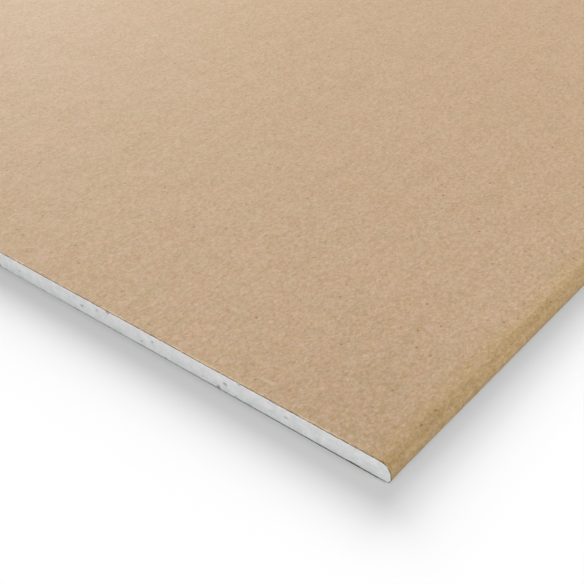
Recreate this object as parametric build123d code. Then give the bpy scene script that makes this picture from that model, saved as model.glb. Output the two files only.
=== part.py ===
from build123d import *
import os

# Drywall sheet: a gypsum core between two paper liners, lying flat with its brown face up.
# X runs across the width, Y along the length, and Z is the thickness above the floor.
# All sizes are in millimetres, and the origin is the middle of the underside.

# The sheet as it is sold
sheet_length = 2000.0
sheet_width = 1250.0
sheet_thickness = 12.5

# The two paper liners
face_paper_thickness = 0.4
back_paper_thickness = 0.4

# The rounded long edge, whose widest line lies nearer to the back than to the face
edge_line_height = 4.0
edge_face_reach = 7.2
edge_back_reach = 2.8

# The face liner is folded under the core, and the back liner laps over the fold
fold_width = 28.0
back_paper_inset = 8.0

# Places on the section, worked out from the sizes above
edge_x = sheet_width / 2
upper_centre = (edge_x - edge_face_reach, edge_line_height)
lower_centre = (edge_x - edge_back_reach, edge_line_height)
fold_edge_x = edge_x - fold_width
fold_underside = back_paper_thickness
fold_topside = fold_underside + face_paper_thickness


def rounded_edge(skin):
    """The two quarter ellipses of the right-hand long edge, from the face down to the fold.

    skin is how deep the line lies under the outside of the face liner.
    """
    upper = EllipticalCenterArc(
        upper_centre,
        edge_face_reach - skin,
        sheet_thickness - edge_line_height - skin,
        start_angle=0,
        arc_size=90,
    )
    lower = EllipticalCenterArc(
        lower_centre,
        edge_back_reach - skin,
        edge_line_height - fold_underside - skin,
        start_angle=-90,
        arc_size=90,
    )
    return upper, lower


def sheet_long(half_section):
    """A piece as long as the sheet, from the right-hand half of its section."""
    section = half_section + mirror(half_section, about=Plane.YZ)
    upright = Plane.XZ.offset(-sheet_length / 2) * section
    return extrude(upright, amount=sheet_length)


def gypsum_core():
    """The cast core: it fills the face liner's channel and is level with the fold underneath."""
    upper, lower = rounded_edge(face_paper_thickness)
    face_line = Line((0, sheet_thickness - face_paper_thickness), upper @ 1)
    under = Polyline(
        lower @ 0,
        (fold_edge_x, fold_topside),
        (fold_edge_x, fold_underside),
        (0, fold_underside),
    )
    middle = Line(under @ 1, face_line @ 0)
    return sheet_long(make_face([face_line, upper, lower, under, middle]))


def face_paper():
    """The brown liner: one web over the face, round both long edges and folded under."""
    outer_upper, outer_lower = rounded_edge(0)
    inner_upper, inner_lower = rounded_edge(face_paper_thickness)
    outer_face = Line((0, sheet_thickness), outer_upper @ 1)
    inner_face = Line((0, sheet_thickness - face_paper_thickness), inner_upper @ 1)
    fold = Polyline(
        outer_lower @ 0,
        (fold_edge_x, fold_underside),
        (fold_edge_x, fold_topside),
        inner_lower @ 0,
    )
    middle = Line(outer_face @ 0, inner_face @ 0)
    outline = [outer_face, outer_upper, outer_lower, fold, inner_lower, inner_upper, inner_face, middle]
    return sheet_long(make_face(outline))


def back_paper():
    """The grey liner: a flat web on the underside that stops short of the long edges."""
    web_width = sheet_width - 2 * back_paper_inset
    on_floor = (Align.CENTER, Align.CENTER, Align.MIN)
    return Box(web_width, sheet_length, back_paper_thickness, align=on_floor)


os.makedirs("parts", exist_ok=True)
for piece in (gypsum_core, face_paper, back_paper):
    export_step(piece(), f"parts/{piece.__name__}.step")
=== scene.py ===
import math
import random

import bmesh
import bpy
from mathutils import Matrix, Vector, noise


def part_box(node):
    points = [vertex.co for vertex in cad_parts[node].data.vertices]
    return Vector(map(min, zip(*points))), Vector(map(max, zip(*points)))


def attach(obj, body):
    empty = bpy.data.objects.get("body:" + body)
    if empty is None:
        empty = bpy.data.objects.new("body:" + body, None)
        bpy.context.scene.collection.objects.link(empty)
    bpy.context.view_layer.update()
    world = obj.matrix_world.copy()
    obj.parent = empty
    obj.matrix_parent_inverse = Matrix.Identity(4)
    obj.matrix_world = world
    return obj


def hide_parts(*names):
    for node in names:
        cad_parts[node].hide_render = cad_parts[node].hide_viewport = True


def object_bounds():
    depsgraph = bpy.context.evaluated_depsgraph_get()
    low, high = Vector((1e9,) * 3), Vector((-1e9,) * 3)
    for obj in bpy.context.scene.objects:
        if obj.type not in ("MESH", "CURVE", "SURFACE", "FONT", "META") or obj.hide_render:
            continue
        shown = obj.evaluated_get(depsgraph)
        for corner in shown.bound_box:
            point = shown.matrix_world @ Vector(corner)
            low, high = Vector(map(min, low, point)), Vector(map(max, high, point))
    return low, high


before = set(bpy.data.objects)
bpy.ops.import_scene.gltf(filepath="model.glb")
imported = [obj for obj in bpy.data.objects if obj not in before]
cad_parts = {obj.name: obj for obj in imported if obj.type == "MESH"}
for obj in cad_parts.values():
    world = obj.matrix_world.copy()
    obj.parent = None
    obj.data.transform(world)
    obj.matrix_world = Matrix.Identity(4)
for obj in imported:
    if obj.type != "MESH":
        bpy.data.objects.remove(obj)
cad_low, cad_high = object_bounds()

# Gypsum core: a slurry full of fine air bubbles, cast between the two papers, set hard and cut across.
# Only its two ends are bare. They are chalky, with burst bubbles and a crumbled line under the papers.
core_low, core_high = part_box("gypsum_core")
face_paper_thickness = cad_high.z - core_high.z
back_paper_thickness = core_low.z - cad_low.z
edge_line_height = 0.0040
edge_face_reach = 0.0072
edge_back_reach = 0.0028
fold_width = 0.028
core_nose_reach = edge_face_reach - face_paper_thickness
core_columns = 2080
core_nose_columns = 14
core_rows = 18
merge_distance = 1e-7
sharp_angle = math.radians(50)


def grid_step(place, steps):
    """Which step a place is on, in a grid that runs from -1 to 1."""
    return round((place + 1) / 2 * steps)


def column_inset(column):
    """How far in from the nearer long edge a column stands: close together round the nose, then even."""
    from_edge = min(column, core_columns - column)
    step = (core_high.x - core_nose_reach) / (core_columns / 2 - core_nose_columns)
    turn = min(from_edge / core_nose_columns, 1) * math.pi / 2
    return core_nose_reach * (1 - math.cos(turn)) + max(from_edge - core_nose_columns, 0) * step


def core_heights(inset):
    """The core's lowest and highest z at a place that far in from its widest line."""
    upper = min(inset / core_nose_reach, 1)
    lower = min(inset / (edge_back_reach - face_paper_thickness), 1)
    top = edge_line_height + (core_high.z - edge_line_height) * math.sqrt(1 - (1 - upper) ** 2)
    fold_top = back_paper_thickness + face_paper_thickness
    bottom = edge_line_height - (edge_line_height - fold_top) * math.sqrt(1 - (1 - lower) ** 2)
    over_fold = inset + face_paper_thickness < fold_width
    return (bottom if over_fold else back_paper_thickness), top


def shape_core_section(bm):
    """Turns the flat grid into the core's section at the near end."""
    for vert in bm.verts:
        column = grid_step(vert.co.x, core_columns)
        height_share = (vert.co.y + 1) / 2
        inset = column_inset(column)
        bottom, top = core_heights(inset)
        side = 1 if column > core_columns / 2 else -1
        vert.co = (side * (core_high.x - inset), core_low.y, bottom + (top - bottom) * height_share)


def draw_out(bm):
    """Draws the flat grid out into a closed solid, and gives the vertices of its new side."""
    made = bmesh.ops.extrude_face_region(bm, geom=bm.faces[:])
    return [item for item in made["geom"] if isinstance(item, bmesh.types.BMVert)]


# Burst bubbles in the sawn ends, most of them small, sorted into bins by their x
bubbles_per_end = 330
bubble_radius = (0.0003, 0.0016)
bubble_small_bias = 3
bubble_depth_shares = (0.4, 0.8)
bubble_stretch = 1.6
bubble_seed = 11
bins_per_metre = 1000
bins_to_search = 2


def scatter_bubbles(seed):
    """The bubbles of one end, as lists of (x, z, radius, depth) by their bin."""
    draw = random.Random(seed)
    smallest, largest = bubble_radius
    found = {}
    for _ in range(bubbles_per_end):
        x = draw.uniform(core_low.x, core_high.x)
        z = draw.uniform(core_low.z, core_high.z)
        radius = smallest + (largest - smallest) * draw.random() ** bubble_small_bias
        depth = radius * draw.uniform(*bubble_depth_shares)
        found.setdefault(round(x * bins_per_metre), []).append((x, z, radius, depth))
    return found


# Grain all over the sawn ends, and the line under each paper where the core has crumbled
grain_depth = 0.00005
grain_size = 0.0013
crumble_depth = 0.00045
crumble_height = 0.0005
crumble_length = 0.0045
crumble_layer = 0.3
fine_crumble_length = 0.0012
fine_crumble_layer = 7.1
fine_crumble_share = 0.6
crumble_start = 0.25
back_crumble_share = 0.6
end_seed = 3.7


def core_hollow(x, z, bubbles, seed):
    """How deep the sawn end is hollowed at a place: grain, a crumbled line under the papers and bubbles."""
    bottom, top = core_heights(core_high.x - abs(x))
    grain = 0.5 + 0.5 * noise.noise((x / grain_size, z / grain_size, seed))
    coarse = noise.noise((x / crumble_length, seed, crumble_layer))
    fine = noise.noise((x / fine_crumble_length, seed, fine_crumble_layer))
    breaks = coarse + fine_crumble_share * fine
    near_face = math.exp(-(top - z) / crumble_height)
    near_back = math.exp(-(z - bottom) / crumble_height)
    near_paper = near_face + back_crumble_share * near_back
    hollow = grain_depth * grain + crumble_depth * max(crumble_start + breaks, 0) * near_paper
    own_bin = round(x * bins_per_metre)
    for place in range(own_bin - bins_to_search, own_bin + bins_to_search + 1):
        for bubble_x, bubble_z, radius, depth in bubbles.get(place, []):
            away = math.hypot((x - bubble_x) / bubble_stretch, z - bubble_z) / radius
            hollow = max(hollow, depth * (1 - away * away))
    return hollow


# The saw has spread the rounded long edges a little at the ends, so the rest of their length is drawn in
flare = 0.00035
flare_length = 0.016
flare_cuts = (0.004, 0.009, 0.015)


def cut_noses(bm):
    """Cuts the core across near its ends, along the long edges only, so that it can flare there."""
    for cut in flare_cuts:
        for end in (-1, 1):
            noses = [face for face in bm.faces if core_high.x - abs(face.calc_center_median().x) < fold_width]
            edges = {edge for face in noses for edge in face.edges}
            verts = {vert for face in noses for vert in face.verts}
            bmesh.ops.bisect_plane(
                bm,
                geom=[*verts, *edges, *noses],
                plane_co=(0, end * (core_high.y - cut), 0),
                plane_no=(0, 1, 0),
            )


def draw_in_noses(bm):
    """Draws both long edges in, with a smooth start at the cut ends, which stay as wide as the sheet."""
    for vert in bm.verts:
        inset = cad_high.x - abs(vert.co.x)
        near_edge = min(max((fold_width - inset) / (fold_width - edge_face_reach), 0), 1)
        from_end = min((cad_high.y - abs(vert.co.y)) / flare_length, 1)
        side = 1 if vert.co.x > 0 else -1
        vert.co.x -= side * flare * near_edge * from_end * from_end * (3 - 2 * from_end)


def finish_mesh(bm, name):
    """The object made from a finished mesh, smooth apart from its sharp edges."""
    mesh = bpy.data.meshes.new(name)
    bm.to_mesh(mesh)
    bm.free()
    mesh.shade_smooth()
    mesh.set_sharp_from_angle(angle=sharp_angle)
    piece = bpy.data.objects.new(name, mesh)
    bpy.context.scene.collection.objects.link(piece)
    return piece


bm = bmesh.new()
bmesh.ops.create_grid(bm, x_segments=core_columns, y_segments=core_rows, size=1)
shape_core_section(bm)
bmesh.ops.translate(bm, verts=draw_out(bm), vec=(0, core_high.y - core_low.y, 0))
bmesh.ops.remove_doubles(bm, verts=bm.verts[:], dist=merge_distance)
bmesh.ops.recalc_face_normals(bm, faces=bm.faces[:])
cut_noses(bm)
hollow_layer = bm.verts.layers.float.new("hollow")
end_bubbles = {-1: scatter_bubbles(bubble_seed), 1: scatter_bubbles(bubble_seed + 1)}
for vert in bm.verts:
    if abs(vert.co.y) < core_high.y - flare_cuts[0] / 2:
        continue
    end = 1 if vert.co.y > 0 else -1
    hollow = core_hollow(vert.co.x, vert.co.z, end_bubbles[end], end_seed * end)
    vert[hollow_layer] = hollow
    vert.co.y -= end * hollow
draw_in_noses(bm)
core = finish_mesh(bm, "sawn_core")


def put(tree, kind, inputs=None, **properties):
    """A node of that kind, with its properties set and each input given a value or linked to a socket."""
    node = tree.nodes.new(kind)
    for name, value in properties.items():
        setattr(node, name, value)
    for name, value in (inputs or {}).items():
        if isinstance(value, bpy.types.NodeSocket):
            tree.links.new(value, node.inputs[name])
        else:
            node.inputs[name].default_value = value
    return node


def math_of(tree, operation, first, second=0.0, third=0.0):
    """The value that a Math node gives."""
    return put(tree, "ShaderNodeMath", {0: first, 1: second, 2: third}, operation=operation).outputs[0]


def ramp(tree, value, start, end, low=0.0, high=1.0):
    """A value that runs from low, where another value is at the start, to high, where it is at the end."""
    inputs = {0: value, 1: start, 2: end, 3: low, 4: high}
    return put(tree, "ShaderNodeMapRange", inputs).outputs[0]


def mixed(tree, share, first, second):
    """The colour that lies between two colours."""
    inputs = {0: share, 6: first, 7: second}
    return put(tree, "ShaderNodeMix", inputs, data_type="RGBA").outputs[2]


def noise_of(tree, place, per_metre, detail=3.0, roughness=0.6, distortion=0.0):
    """A noise pattern's value, with so many lumps to the metre: one number, or one for each axis."""
    scale = per_metre
    if isinstance(per_metre, tuple):
        place = put(tree, "ShaderNodeMapping", {"Vector": place, "Scale": per_metre}).outputs[0]
        scale = 1.0
    inputs = {
        "Vector": place,
        "Scale": scale,
        "Detail": detail,
        "Roughness": roughness,
        "Distortion": distortion,
    }
    return put(tree, "ShaderNodeTexNoise", inputs).outputs["Fac"]


def coordinate(tree, place, axis):
    """A place's X, Y or Z."""
    return put(tree, "ShaderNodeSeparateXYZ", {0: place}).outputs[axis]


def inset_of(tree, place, axis):
    """How far in from the sheet's nearer edge or end a place lies, along X or Y, and below zero outside."""
    half_length = {"X": cad_high.x, "Y": cad_high.y}[axis]
    return math_of(tree, "SUBTRACT", half_length, math_of(tree, "ABSOLUTE", coordinate(tree, place, axis)))


def new_material(name):
    """An empty material, with its tree, its object coordinates and its shader."""
    material = bpy.data.materials.new(name)
    material.use_nodes = True
    tree = material.node_tree
    tree.nodes.clear()
    place = put(tree, "ShaderNodeTexCoord").outputs["Object"]
    shader = put(tree, "ShaderNodeBsdfPrincipled")
    put(tree, "ShaderNodeOutputMaterial", {"Surface": shader.outputs[0]})
    return material, tree, place, shader


def give_finish(tree, shader, colour, roughness, gloss):
    """Gives a shader its colour, and how matt and how glossy it is."""
    tree.links.new(colour, shader.inputs["Base Color"])
    shader.inputs["Roughness"].default_value = roughness
    shader.inputs["Specular IOR Level"].default_value = gloss


def give_bump(tree, shader, height, depth, strength):
    """Gives a shader a fine relief."""
    bump = put(tree, "ShaderNodeBump", {"Strength": strength, "Distance": depth, "Height": height})
    tree.links.new(bump.outputs[0], shader.inputs["Normal"])


# Chalk: cloudy and mottled, greener towards the underside, clean under the face paper, and darker along
# the bottom towards the long edges, with painted shade. The hollows lie in shade.
warm_chalk = (0.905, 0.878, 0.89, 1)
green_chalk = (0.812, 0.857, 0.843, 1)
clean_chalk = (0.95, 0.945, 0.93, 1)
bottom_shade_chalk = (0.22, 0.24, 0.21, 1)
shaded_chalk = (0.30, 0.31, 0.28, 1)
chalk_clouds_per_metre = 130
chalk_cloud_limits = (0.42, 0.58)
green_heights = (0.0085, 0.0025)
green_height_share = 0.5
green_cloud_share = 0.5
mottles_per_metre = 150
mottle_limits = (0.3, 0.7)
mottle_levels = (0.87, 1.09)
clean_start_depth = 0.0012
clean_end_depth = 0.0004
clean_share = 0.6
bottom_shade_insets = (0.26, 0.04)
bottom_shade_shares = (0.1, 0.75)
bottom_shade_start_height = 0.0009
bottom_shade_end_height = 0.0002
shaded_hollows = (0.00022, 0.0007)
shaded_share = 0.55
pores_per_metre = 1600
pore_depth = 0.0001

gypsum, tree, place, shader = new_material("gypsum")
height = coordinate(tree, place, "Z")
clouds = noise_of(tree, place, chalk_clouds_per_metre, detail=4)
cloudy = math_of(tree, "MULTIPLY", ramp(tree, clouds, *chalk_cloud_limits), green_cloud_share)
greenish = math_of(tree, "MULTIPLY_ADD", ramp(tree, height, *green_heights), green_height_share, cloudy)
chalk = mixed(tree, greenish, warm_chalk, green_chalk)
mottle = noise_of(tree, place, mottles_per_metre, detail=5, roughness=0.75)
level = ramp(tree, mottle, *mottle_limits, *mottle_levels)
chalk = put(tree, "ShaderNodeVectorMath", {0: chalk, "Scale": level}, operation="SCALE").outputs[0]
clean_start = core_high.z - clean_start_depth
clean_end = core_high.z - clean_end_depth
chalk = mixed(tree, ramp(tree, height, clean_start, clean_end, high=clean_share), chalk, clean_chalk)
# Painted shade along the bottom of the core, stronger towards the long edges
shade_toward_edges = ramp(tree, inset_of(tree, place, "X"), *bottom_shade_insets, *bottom_shade_shares)
bottom_shade_start = core_low.z + bottom_shade_start_height
bottom_shade_end = core_low.z + bottom_shade_end_height
bottom_shade = math_of(tree, "MULTIPLY", ramp(tree, height, bottom_shade_start, bottom_shade_end), shade_toward_edges)
chalk = mixed(tree, bottom_shade, chalk, bottom_shade_chalk)
hollow = put(tree, "ShaderNodeAttribute", attribute_name="hollow").outputs["Fac"]
chalk = mixed(tree, ramp(tree, hollow, *shaded_hollows, high=shaded_share), chalk, shaded_chalk)
give_finish(tree, shader, chalk, roughness=0.95, gloss=0.2)
give_bump(tree, shader, noise_of(tree, place, pores_per_metre), depth=pore_depth, strength=0.35)
core.data.materials.append(gypsum)
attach(core, "root")
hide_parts("gypsum_core")
# No piece throws its own colour on the floor, so the shadow stays a plain grey.
core.visible_diffuse = False

# Face paper: one web of brown kraft liner, bonded over the face, bent round both long edges and folded
# under the core. It was cut through with the core, which leaves a dark, slightly frayed line at the ends.
web_fold_columns = 14
web_back_columns = 8
web_face_columns = 16
web_flat_columns = 1000
web_columns = web_flat_columns + 2 * (web_fold_columns + web_back_columns + web_face_columns)
web_seed = 2.3
fray_reach = 0.0012
fray_depth = 0.00022
fray_size = 0.0016
fray_start = 0.5
nick_size = 0.011
nick_layer = 5.3
nick_start = 0.45
nick_gain = 4
end_facing = 0.7
# How far from the nearer end each row of a paper's grid lies, up to the middle of the sheet
paper_rows = (0.0, 0.0004, fray_reach, *flare_cuts, 0.06, 0.25, 0.6, cad_high.y)
rows = 2 * (len(paper_rows) - 1)


def web_place(column, skin):
    """A column's x and z on the wrapped web, a skin's depth under its outside."""
    from_edge = min(column, web_columns - column)
    side = 1 if column > web_columns / 2 else -1
    if from_edge <= web_fold_columns:
        inset = fold_width + (edge_back_reach - fold_width) * from_edge / web_fold_columns
        return side * (cad_high.x - inset), back_paper_thickness + skin
    from_edge -= web_fold_columns
    if from_edge <= web_back_columns:
        turn = from_edge / web_back_columns * math.pi / 2
        out = (edge_back_reach - skin) * math.sin(turn)
        drop = (edge_line_height - back_paper_thickness - skin) * math.cos(turn)
        return side * (cad_high.x - edge_back_reach + out), edge_line_height - drop
    from_edge -= web_back_columns
    if from_edge <= web_face_columns:
        turn = from_edge / web_face_columns * math.pi / 2
        out = (edge_face_reach - skin) * math.cos(turn)
        rise = (cad_high.z - edge_line_height - skin) * math.sin(turn)
        return side * (cad_high.x - edge_face_reach + out), edge_line_height + rise
    from_edge -= web_face_columns
    inset = edge_face_reach + from_edge * (cad_high.x - edge_face_reach) / (web_flat_columns / 2)
    return side * (cad_high.x - inset), cad_high.z - skin


def row_place(row):
    """A row's y, close together at both ends of the sheet."""
    from_end = min(row, rows - row)
    end = -1 if row <= rows / 2 else 1
    return end * (cad_high.y - paper_rows[from_end])


def frayed_end(x, z, seed):
    """How far the cut stands back from the true end, at a place along it."""
    fray = fray_start + noise.noise((x / fray_size, z / fray_size, seed))
    nick = max(noise.noise((x / nick_size, z / nick_size, seed + nick_layer)) - nick_start, 0) * nick_gain
    return fray_depth * (max(fray, 0) + nick)


def fray_paper_ends(bm, seed):
    """Draws a paper's cut ends back to a frayed line, and shades the rows beside them off to nothing."""
    for vert in bm.verts:
        from_end = cad_high.y - abs(vert.co.y)
        share = max(1 - from_end / fray_reach, 0)
        end = 1 if vert.co.y > 0 else -1
        vert.co.y -= end * share * frayed_end(vert.co.x, vert.co.z, seed * end)


def finish_paper(bm, name):
    """A paper's object, with its cut ends set for its second material."""
    bmesh.ops.recalc_face_normals(bm, faces=bm.faces[:])
    for face in bm.faces:
        face.material_index = 1 if abs(face.normal.y) > end_facing else 0
    return finish_mesh(bm, name)


bm = bmesh.new()
bmesh.ops.create_grid(bm, x_segments=web_columns, y_segments=rows, size=1)
column_layer = bm.verts.layers.int.new("column")
for vert in bm.verts:
    column = grid_step(vert.co.x, web_columns)
    x, z = web_place(column, 0)
    vert.co = (x, row_place(grid_step(vert.co.y, rows)), z)
    vert[column_layer] = column
for vert in draw_out(bm):
    x, z = web_place(vert[column_layer], face_paper_thickness)
    vert.co = (x, vert.co.y, z)
draw_in_noses(bm)
fray_paper_ends(bm, web_seed)
face_paper = finish_paper(bm, "brown_face_paper")

# How paper looks close up, for both liners: its tooth, the streaks that it gets as it runs through the mill,
# its cloudy formation, and the odd dark or pale fibre.
tooth_per_metre = (600, 340, 600)
tooth_depth = 0.0002
streaks_per_metre = (260, 9, 260)
clouds_per_metre = (60, 32, 60)
fleck_middle_share = 0.4
faint_fleck_share = 0.4


def fleck(tree, place, stretch, per_metre, chance, size):
    """A mask of small flecks: one cell in a few holds one, near its middle, faint or strong."""
    place = put(tree, "ShaderNodeMapping", {"Vector": place, "Scale": stretch}).outputs[0]
    cells = put(tree, "ShaderNodeTexVoronoi", {"Vector": place, "Scale": per_metre}, voronoi_dimensions="2D")
    drawn = put(tree, "ShaderNodeSeparateColor", {0: cells.outputs["Color"]})
    inside = ramp(tree, cells.outputs["Distance"], size, size * fleck_middle_share)
    chosen = math_of(tree, "LESS_THAN", drawn.outputs[0], chance)
    return math_of(tree, "MULTIPLY", inside, math_of(tree, "MULTIPLY", chosen, drawn.outputs[1]))


paper_look = bpy.data.node_groups.new("paper_look", "ShaderNodeTree")
paper_look.interface.new_socket("Vector", in_out="INPUT", socket_type="NodeSocketVector")
for name in ("Tooth", "Streak", "Cloud", "Dark Fleck", "Pale Fleck"):
    paper_look.interface.new_socket(name, in_out="OUTPUT", socket_type="NodeSocketFloat")
place = put(paper_look, "NodeGroupInput").outputs["Vector"]
dark = fleck(paper_look, place, stretch=(1, 0.7, 1), per_metre=110, chance=0.17, size=0.11)
faint = fleck(paper_look, place, stretch=(1, 0.6, 1), per_metre=290, chance=0.06, size=0.25)
faint = math_of(paper_look, "MULTIPLY", faint, faint_fleck_share)
looks = {
    "Tooth": noise_of(paper_look, place, tooth_per_metre, roughness=0.85, distortion=0.6),
    "Streak": noise_of(paper_look, place, streaks_per_metre),
    "Cloud": noise_of(paper_look, place, clouds_per_metre, detail=4, roughness=0.8),
    "Dark Fleck": math_of(paper_look, "MAXIMUM", dark, faint),
    "Pale Fleck": fleck(paper_look, place, stretch=(0.6, 1, 1), per_metre=170, chance=0.02, size=0.10),
}
put(paper_look, "NodeGroupOutput", looks)


def centred(tree, value, amount):
    """A pattern between 0 and 1, moved to lie about zero and then made that much wider."""
    return math_of(tree, "MULTIPLY", math_of(tree, "SUBTRACT", value, 0.5), amount)


def toned(tree, colour, amount, tone):
    """A colour with some of a tone added to it, or taken off it where the amount is below zero."""
    amounts = put(tree, "ShaderNodeCombineXYZ", {0: amount, 1: amount, 2: amount}).outputs[0]
    inputs = {0: tone, 1: amounts, 2: colour}
    return put(tree, "ShaderNodeVectorMath", inputs, operation="MULTIPLY_ADD").outputs[0]


def paper_colour(tree, look, colour, tooth, streak, cloud, tooth_tone, cloud_tone):
    """A paper's colour with that much of its tooth, its streaks and its cloudy formation."""
    toothed = centred(tree, look.outputs["Tooth"], tooth)
    streaked = centred(tree, look.outputs["Streak"], streak)
    colour = toned(tree, colour, math_of(tree, "ADD", toothed, streaked), tooth_tone)
    return toned(tree, colour, centred(tree, look.outputs["Cloud"], cloud), cloud_tone)


def flecked(tree, colour, mask, share, fleck_colour):
    """A colour with flecks of another on it, where a mask has them, and only a share as strong."""
    return mixed(tree, math_of(tree, "MULTIPLY", mask, share), colour, fleck_colour)


kraft, tree, place, shader = new_material("kraft_paper")
look = put(tree, "ShaderNodeGroup", {"Vector": place}, node_tree=paper_look)
from_edge = inset_of(tree, place, "X")
from_end = inset_of(tree, place, "Y")

# Two browns, in soft lumps
yellow_brown = (0.445, 0.322, 0.194, 1)
red_brown = (0.470, 0.313, 0.198, 1)
brown_lumps_per_metre = (130, 80, 130)
brown_lump_limits = (0.35, 0.65)

warmth = noise_of(tree, place, brown_lumps_per_metre, roughness=0.8)
warmth = ramp(tree, warmth, *brown_lump_limits)
brown = mixed(tree, warmth, yellow_brown, red_brown)

# An olive band along the long edges, with a ragged border and blotches, and painted shade in the bend
band_olive = (0.400, 0.275, 0.118, 1)
band_tan = (0.462, 0.308, 0.158, 1)
bend_shade_brown = (0.33, 0.22, 0.085, 1)
rags_per_metre = (300, 22, 300)
blotches_per_metre = (420, 13, 420)
blotch_limits = (0.33, 0.67)
band_insets = (0.020, -0.001)
band_raggedness = 0.016
bend_shade_outer_insets = (0.0019, 0.0030)
bend_shade_inner_insets = (0.0075, 0.0030)
bend_shade_raggedness = 0.007
bend_shade_share = 0.38

ragged = noise_of(tree, place, rags_per_metre, detail=2)
blotch = ramp(tree, noise_of(tree, place, blotches_per_metre), *blotch_limits)
band_inset = math_of(tree, "ADD", from_edge, centred(tree, ragged, band_raggedness))
band_colour = mixed(tree, blotch, band_olive, band_tan)
brown = mixed(tree, ramp(tree, band_inset, *band_insets), brown, band_colour)
# Painted shade partway round the bend, where it turns away from the light
bend_shade_inset = math_of(tree, "ADD", from_edge, centred(tree, ragged, bend_shade_raggedness))
bend_shade_outside = ramp(tree, from_edge, *bend_shade_outer_insets)
bend_shade_inside = ramp(tree, bend_shade_inset, *bend_shade_inner_insets, high=bend_shade_share)
bend_shade = math_of(tree, "MULTIPLY", bend_shade_outside, bend_shade_inside)
brown = mixed(tree, bend_shade, brown, bend_shade_brown)

# Painted shade: the corners are darker, and so is the lower half of the rounded edge, which faces down
corner_shade_brown = (0.25, 0.17, 0.08, 1)
underside_shade_brown = (0.20, 0.13, 0.035, 1)
corner_reach = 0.12
corner_shade_share = 0.20
underside_shade_heights = (0.0080, 0.0040)
underside_shade_share = 0.36

# Painted shade near the corners
from_corner = math_of(tree, "MAXIMUM", from_edge, from_end)
brown = mixed(tree, ramp(tree, from_corner, corner_reach, 0.0, high=corner_shade_share), brown, corner_shade_brown)
# Painted shade on the lower half of the rounded edge
underside_shade = ramp(tree, coordinate(tree, place, "Z"), *underside_shade_heights, high=underside_shade_share)
brown = mixed(tree, underside_shade, brown, underside_shade_brown)

# Tooth, streaks and clouds, yellower and greyer lumps, and flecks
tooth_tone = (0.40, 0.33, 0.295)
cloud_tone = (0.365, 0.33, 0.35)
yellow_tone = (0, 0.1, 1.0)
brown_speck = (0.15, 0.09, 0.04, 1)
red_speck = (0.28, 0.12, 0.045, 1)
speck_share = 0.95
pale_fibre = (0.68, 0.56, 0.42, 1)
pale_fibre_share = 0.5
yellow_lumps_per_metre = (155, 95, 155)
yellow_amount = 0.10

brown = paper_colour(
    tree, look, brown, tooth=1.33, streak=0.13, cloud=0.23, tooth_tone=tooth_tone, cloud_tone=cloud_tone
)
yellowing = noise_of(tree, place, yellow_lumps_per_metre, detail=5, roughness=0.8)
brown = toned(tree, brown, centred(tree, yellowing, yellow_amount), yellow_tone)
speck = mixed(tree, warmth, brown_speck, red_speck)
brown = flecked(tree, brown, look.outputs["Dark Fleck"], speck_share, speck)
brown = flecked(tree, brown, look.outputs["Pale Fleck"], pale_fibre_share, pale_fibre)

# A pale scuff beside the near end
scuffed_brown = (0.66, 0.56, 0.43, 1)
scuff_from_edge = 0.091
scuff_from_end = 0.0116
scuff_size = (0.0085, 0.0022, 1)
scuff_share = 0.6

scuff_place = (cad_high.x - scuff_from_edge, cad_low.y + scuff_from_end, cad_high.z)
scuff_frame = {"Vector": place, "Location": scuff_place, "Scale": scuff_size}
scuff_at = put(tree, "ShaderNodeMapping", scuff_frame, vector_type="TEXTURE").outputs[0]
scuff_away = put(tree, "ShaderNodeVectorMath", {0: scuff_at}, operation="LENGTH").outputs["Value"]
scuff = ramp(tree, scuff_away, 1.0, 0.0, high=scuff_share)
brown = flecked(tree, brown, scuff, yellowing, scuffed_brown)

# The line of the cut: a painted highlight in places, where the paper has lifted, and a dark, nibbled edge
rim_highlight_brown = (0.66, 0.53, 0.34, 1)
cut_brown = (0.085, 0.062, 0.030, 1)
rims_per_metre = 60
rim_limits = (0.48, 0.58)
rim_highlight_share = 0.6
rim_insets = (0.0017, 0.0010)
nibbles_per_metre = 260
nibble_reach = 0.0020
cut_insets = (0.0007, 0.0001)
cut_share = 0.75

# Painted highlight along the rim where the paper has lifted
lifted_highlight = ramp(tree, noise_of(tree, place, rims_per_metre, detail=2), *rim_limits, high=rim_highlight_share)
brown = flecked(tree, brown, ramp(tree, from_end, *rim_insets), lifted_highlight, rim_highlight_brown)
nibble = noise_of(tree, place, nibbles_per_metre, roughness=0.7)
cut_inset = math_of(tree, "ADD", from_end, centred(tree, nibble, nibble_reach))
brown = mixed(tree, ramp(tree, cut_inset, *cut_insets, high=cut_share), brown, cut_brown)
give_finish(tree, shader, brown, roughness=0.75, gloss=0.68)
give_bump(tree, shader, look.outputs["Tooth"], depth=tooth_depth, strength=0.15)
face_paper.data.materials.append(kraft)

# The cut end of the paper itself: dark where it is torn, with chips of gypsum caught in it
torn_dark = (0.055, 0.037, 0.016, 1)
torn_brown = (0.33, 0.235, 0.135, 1)
gypsum_chip = (0.85, 0.84, 0.82, 1)
tears_per_metre = 170
tear_limits = (0.40, 0.62)
chips_per_metre = 330
chip_limits = (0.60, 0.66)

kraft_cut, tree, place, shader = new_material("kraft_cut_edge")
torn = ramp(tree, noise_of(tree, place, tears_per_metre, detail=4, roughness=0.75), *tear_limits)
chip = ramp(tree, noise_of(tree, place, chips_per_metre, detail=2), *chip_limits)
cut = mixed(tree, chip, mixed(tree, torn, torn_dark, torn_brown), gypsum_chip)
give_finish(tree, shader, cut, roughness=0.95, gloss=0.1)
face_paper.data.materials.append(kraft_cut)
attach(face_paper, "root")
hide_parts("face_paper")
face_paper.visible_diffuse = False

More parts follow.
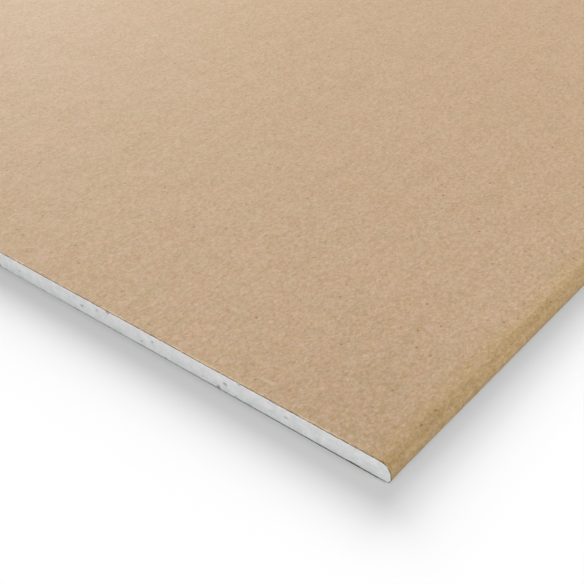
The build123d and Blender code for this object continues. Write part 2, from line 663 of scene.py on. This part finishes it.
# Back paper: a flat web of grey recycled liner on the underside, slit along both sides.
# It laps over the folds of the face paper and stops short of the long edges.
back_low, back_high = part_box("back_paper")
back_columns = 900
back_seed = 4.1

bm = bmesh.new()
bmesh.ops.create_grid(bm, x_segments=back_columns, y_segments=rows, size=1)
for vert in bm.verts:
    vert.co = (vert.co.x * back_high.x, row_place(grid_step(vert.co.y, rows)), back_low.z)
bmesh.ops.translate(bm, verts=draw_out(bm), vec=(0, 0, back_paper_thickness))
fray_paper_ends(bm, back_seed)
back_paper = finish_paper(bm, "grey_back_paper")

dark_ash = (0.40, 0.39, 0.35, 1)
pale_ash = (0.47, 0.45, 0.40, 1)
ash_tooth_tone = (0.42, 0.41, 0.37)
ash_cloud_tone = (0.42, 0.41, 0.38)
dark_fibre = (0.12, 0.11, 0.10, 1)
dark_fibre_share = 0.6
white_fibre = (0.65, 0.63, 0.58, 1)
white_fibre_share = 0.5

grey, tree, place, shader = new_material("grey_paper")
look = put(tree, "ShaderNodeGroup", {"Vector": place}, node_tree=paper_look)
ash = mixed(tree, look.outputs["Cloud"], dark_ash, pale_ash)
ash = paper_colour(
    tree, look, ash, tooth=0.9, streak=0.13, cloud=0.15, tooth_tone=ash_tooth_tone, cloud_tone=ash_cloud_tone
)
ash = flecked(tree, ash, look.outputs["Dark Fleck"], dark_fibre_share, dark_fibre)
ash = flecked(tree, ash, look.outputs["Pale Fleck"], white_fibre_share, white_fibre)
give_finish(tree, shader, ash, roughness=0.85, gloss=0.25)
give_bump(tree, shader, look.outputs["Tooth"], depth=tooth_depth, strength=0.2)
back_paper.data.materials.append(grey)

# The cut end of the grey paper, darker towards the long edges with painted shade, as the core above it is
plain_cut_dark = (0.28, 0.29, 0.265, 1)
plain_cut_pale = (0.54, 0.55, 0.51, 1)
shaded_cut_dark = (0.018, 0.02, 0.015, 1)
shaded_cut_pale = (0.07, 0.075, 0.06, 1)
grey_tears_per_metre = 350

grey_cut, tree, place, shader = new_material("grey_cut_edge")
torn = noise_of(tree, place, grey_tears_per_metre, detail=4, roughness=0.7)
plain_cut = mixed(tree, torn, plain_cut_dark, plain_cut_pale)
# Painted shade on the cut end, growing towards the long edges
bottom_shade = mixed(tree, torn, shaded_cut_dark, shaded_cut_pale)
shade_toward_edges = ramp(tree, inset_of(tree, place, "X"), *bottom_shade_insets)
give_finish(tree, shader, mixed(tree, shade_toward_edges, plain_cut, bottom_shade), roughness=0.95, gloss=0.1)
back_paper.data.materials.append(grey_cut)
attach(back_paper, "root")
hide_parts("back_paper")
back_paper.visible_diffuse = False

# Floor: a plain white floor, level with the sheet's underside, that keeps the sheet's soft shadow.
# Well away from the sheet it is plain white to the eye, like the backdrop behind it.
floor_size = 40.0
floor_gap = 0.00005
floor_white = (0.94, 0.94, 0.94, 1)
plain_white = (1, 1, 1, 1)
shadow_reach = (0.045, 0.085)

bm = bmesh.new()
bmesh.ops.create_grid(bm, x_segments=1, y_segments=1, size=floor_size / 2)
bmesh.ops.translate(bm, verts=bm.verts[:], vec=(0, 0, cad_low.z - floor_gap))
floor = finish_mesh(bm, "floor")


def seen_directly(tree):
    """1 for what the camera sees, also in a gloss or through glass, and 0 for light on the object."""
    path = put(tree, "ShaderNodeLightPath")
    seen = math_of(tree, "MAXIMUM", path.outputs["Is Camera Ray"], path.outputs["Is Glossy Ray"])
    return math_of(tree, "MAXIMUM", seen, path.outputs["Is Transmission Ray"])


white, tree, place, shader = new_material("white_floor")
shader.inputs["Base Color"].default_value = floor_white
shader.inputs["Roughness"].default_value = 1.0
shader.inputs["Specular IOR Level"].default_value = 0.0
inside = math_of(tree, "MINIMUM", inset_of(tree, place, "X"), inset_of(tree, place, "Y"))
away = math_of(tree, "MULTIPLY", inside, -1.0)
share = math_of(tree, "MULTIPLY", ramp(tree, away, *shadow_reach), seen_directly(tree))
glow = put(tree, "ShaderNodeEmission", {"Color": plain_white, "Strength": 1.0})
floor_look = put(tree, "ShaderNodeMixShader", {0: share, 1: shader.outputs[0], 2: glow.outputs[0]})
output = next(node for node in tree.nodes if node.type == "OUTPUT_MATERIAL")
tree.links.new(floor_look.outputs[0], output.inputs["Surface"])
floor.data.materials.append(white)

# Studio light: a dim white room with soft panels behind the sheet, a fill on each of the two edges that face
# the camera, and one overhead. The low panel lights only the floor, where it throws the sheet's shadow to the
# front, and the sheet panel only the sheet. Only the left panel shows as a sheen.
room_light = 0.10
world = bpy.data.worlds.new("room")
world.use_nodes = True
bpy.context.scene.world = world
tree = world.node_tree
tree.nodes.clear()
lit = put(tree, "ShaderNodeBackground", {"Color": plain_white, "Strength": room_light})
seen = put(tree, "ShaderNodeBackground", {"Color": plain_white, "Strength": 1.0})
room = put(tree, "ShaderNodeMixShader", {0: seen_directly(tree), 1: lit.outputs[0], 2: seen.outputs[0]})
put(tree, "ShaderNodeOutputWorld", {"Surface": room.outputs[0]})

corner = Vector((cad_high.x, cad_low.y, cad_low.z))


def softbox(name, from_corner, width, height, power, sheen=False, only=()):
    """A soft rectangular lamp that points at the sheet's near corner, and may light a few things only."""
    lamp = bpy.data.lights.new(name, "AREA")
    lamp.shape = "RECTANGLE"
    lamp.size = width
    lamp.size_y = height
    lamp.energy = power
    holder = bpy.data.objects.new(name, lamp)
    holder.location = corner + Vector(from_corner)
    holder.rotation_euler = (-Vector(from_corner)).to_track_quat("-Z", "Y").to_euler()
    holder.visible_glossy = sheen
    bpy.context.scene.collection.objects.link(holder)
    if only:
        holder.light_linking.receiver_collection = bpy.data.collections.new(name + "_lights")
        for thing in only:
            holder.light_linking.receiver_collection.objects.link(thing)


sheet = (core, face_paper, back_paper)
softbox("low_back_panel", (-6.34, 8.22, 3.12), width=7.8, height=2.34, power=960, only=(floor,))
softbox("sheet_panel", (-2.44, 3.17, 3.4), width=2.5, height=1.8, power=101, only=sheet)
softbox("high_back_panel", (-5.56, 7.20, 5.72), width=7.8, height=4.16, power=364)
softbox("left_back_panel", (-3.05, 1.75, 1.0), width=1.2, height=1.0, power=49, sheen=True)
softbox("front_fill", (-0.8, -4.0, 0.45), width=2.5, height=0.8, power=39)
softbox("right_fill", (3.2, -0.4, 2.0), width=2.5, height=1.5, power=99)
softbox("overhead", (0.4, -0.6, 4.0), width=2.5, height=2.5, power=24)

# Camera: looks down at the near corner, as the photograph does.
camera_from_corner = Vector((0.18213, -0.30444, 0.37064))
camera_azimuth = math.radians(38.947)
camera_elevation = math.radians(35.535)

camera_data = bpy.data.cameras.new("camera")
camera_data.lens = 61.34
camera_data.sensor_width = 36.0
camera_data.clip_start = 0.01
camera_data.clip_end = 100.0
camera = bpy.data.objects.new("camera", camera_data)
camera.location = corner + camera_from_corner
camera.rotation_euler = (math.pi / 2 - camera_elevation, 0, camera_azimuth)
bpy.context.scene.collection.objects.link(camera)
bpy.context.scene.camera = camera
bpy.context.scene.view_settings.view_transform = "Standard"

bpy.context.view_layer.update()
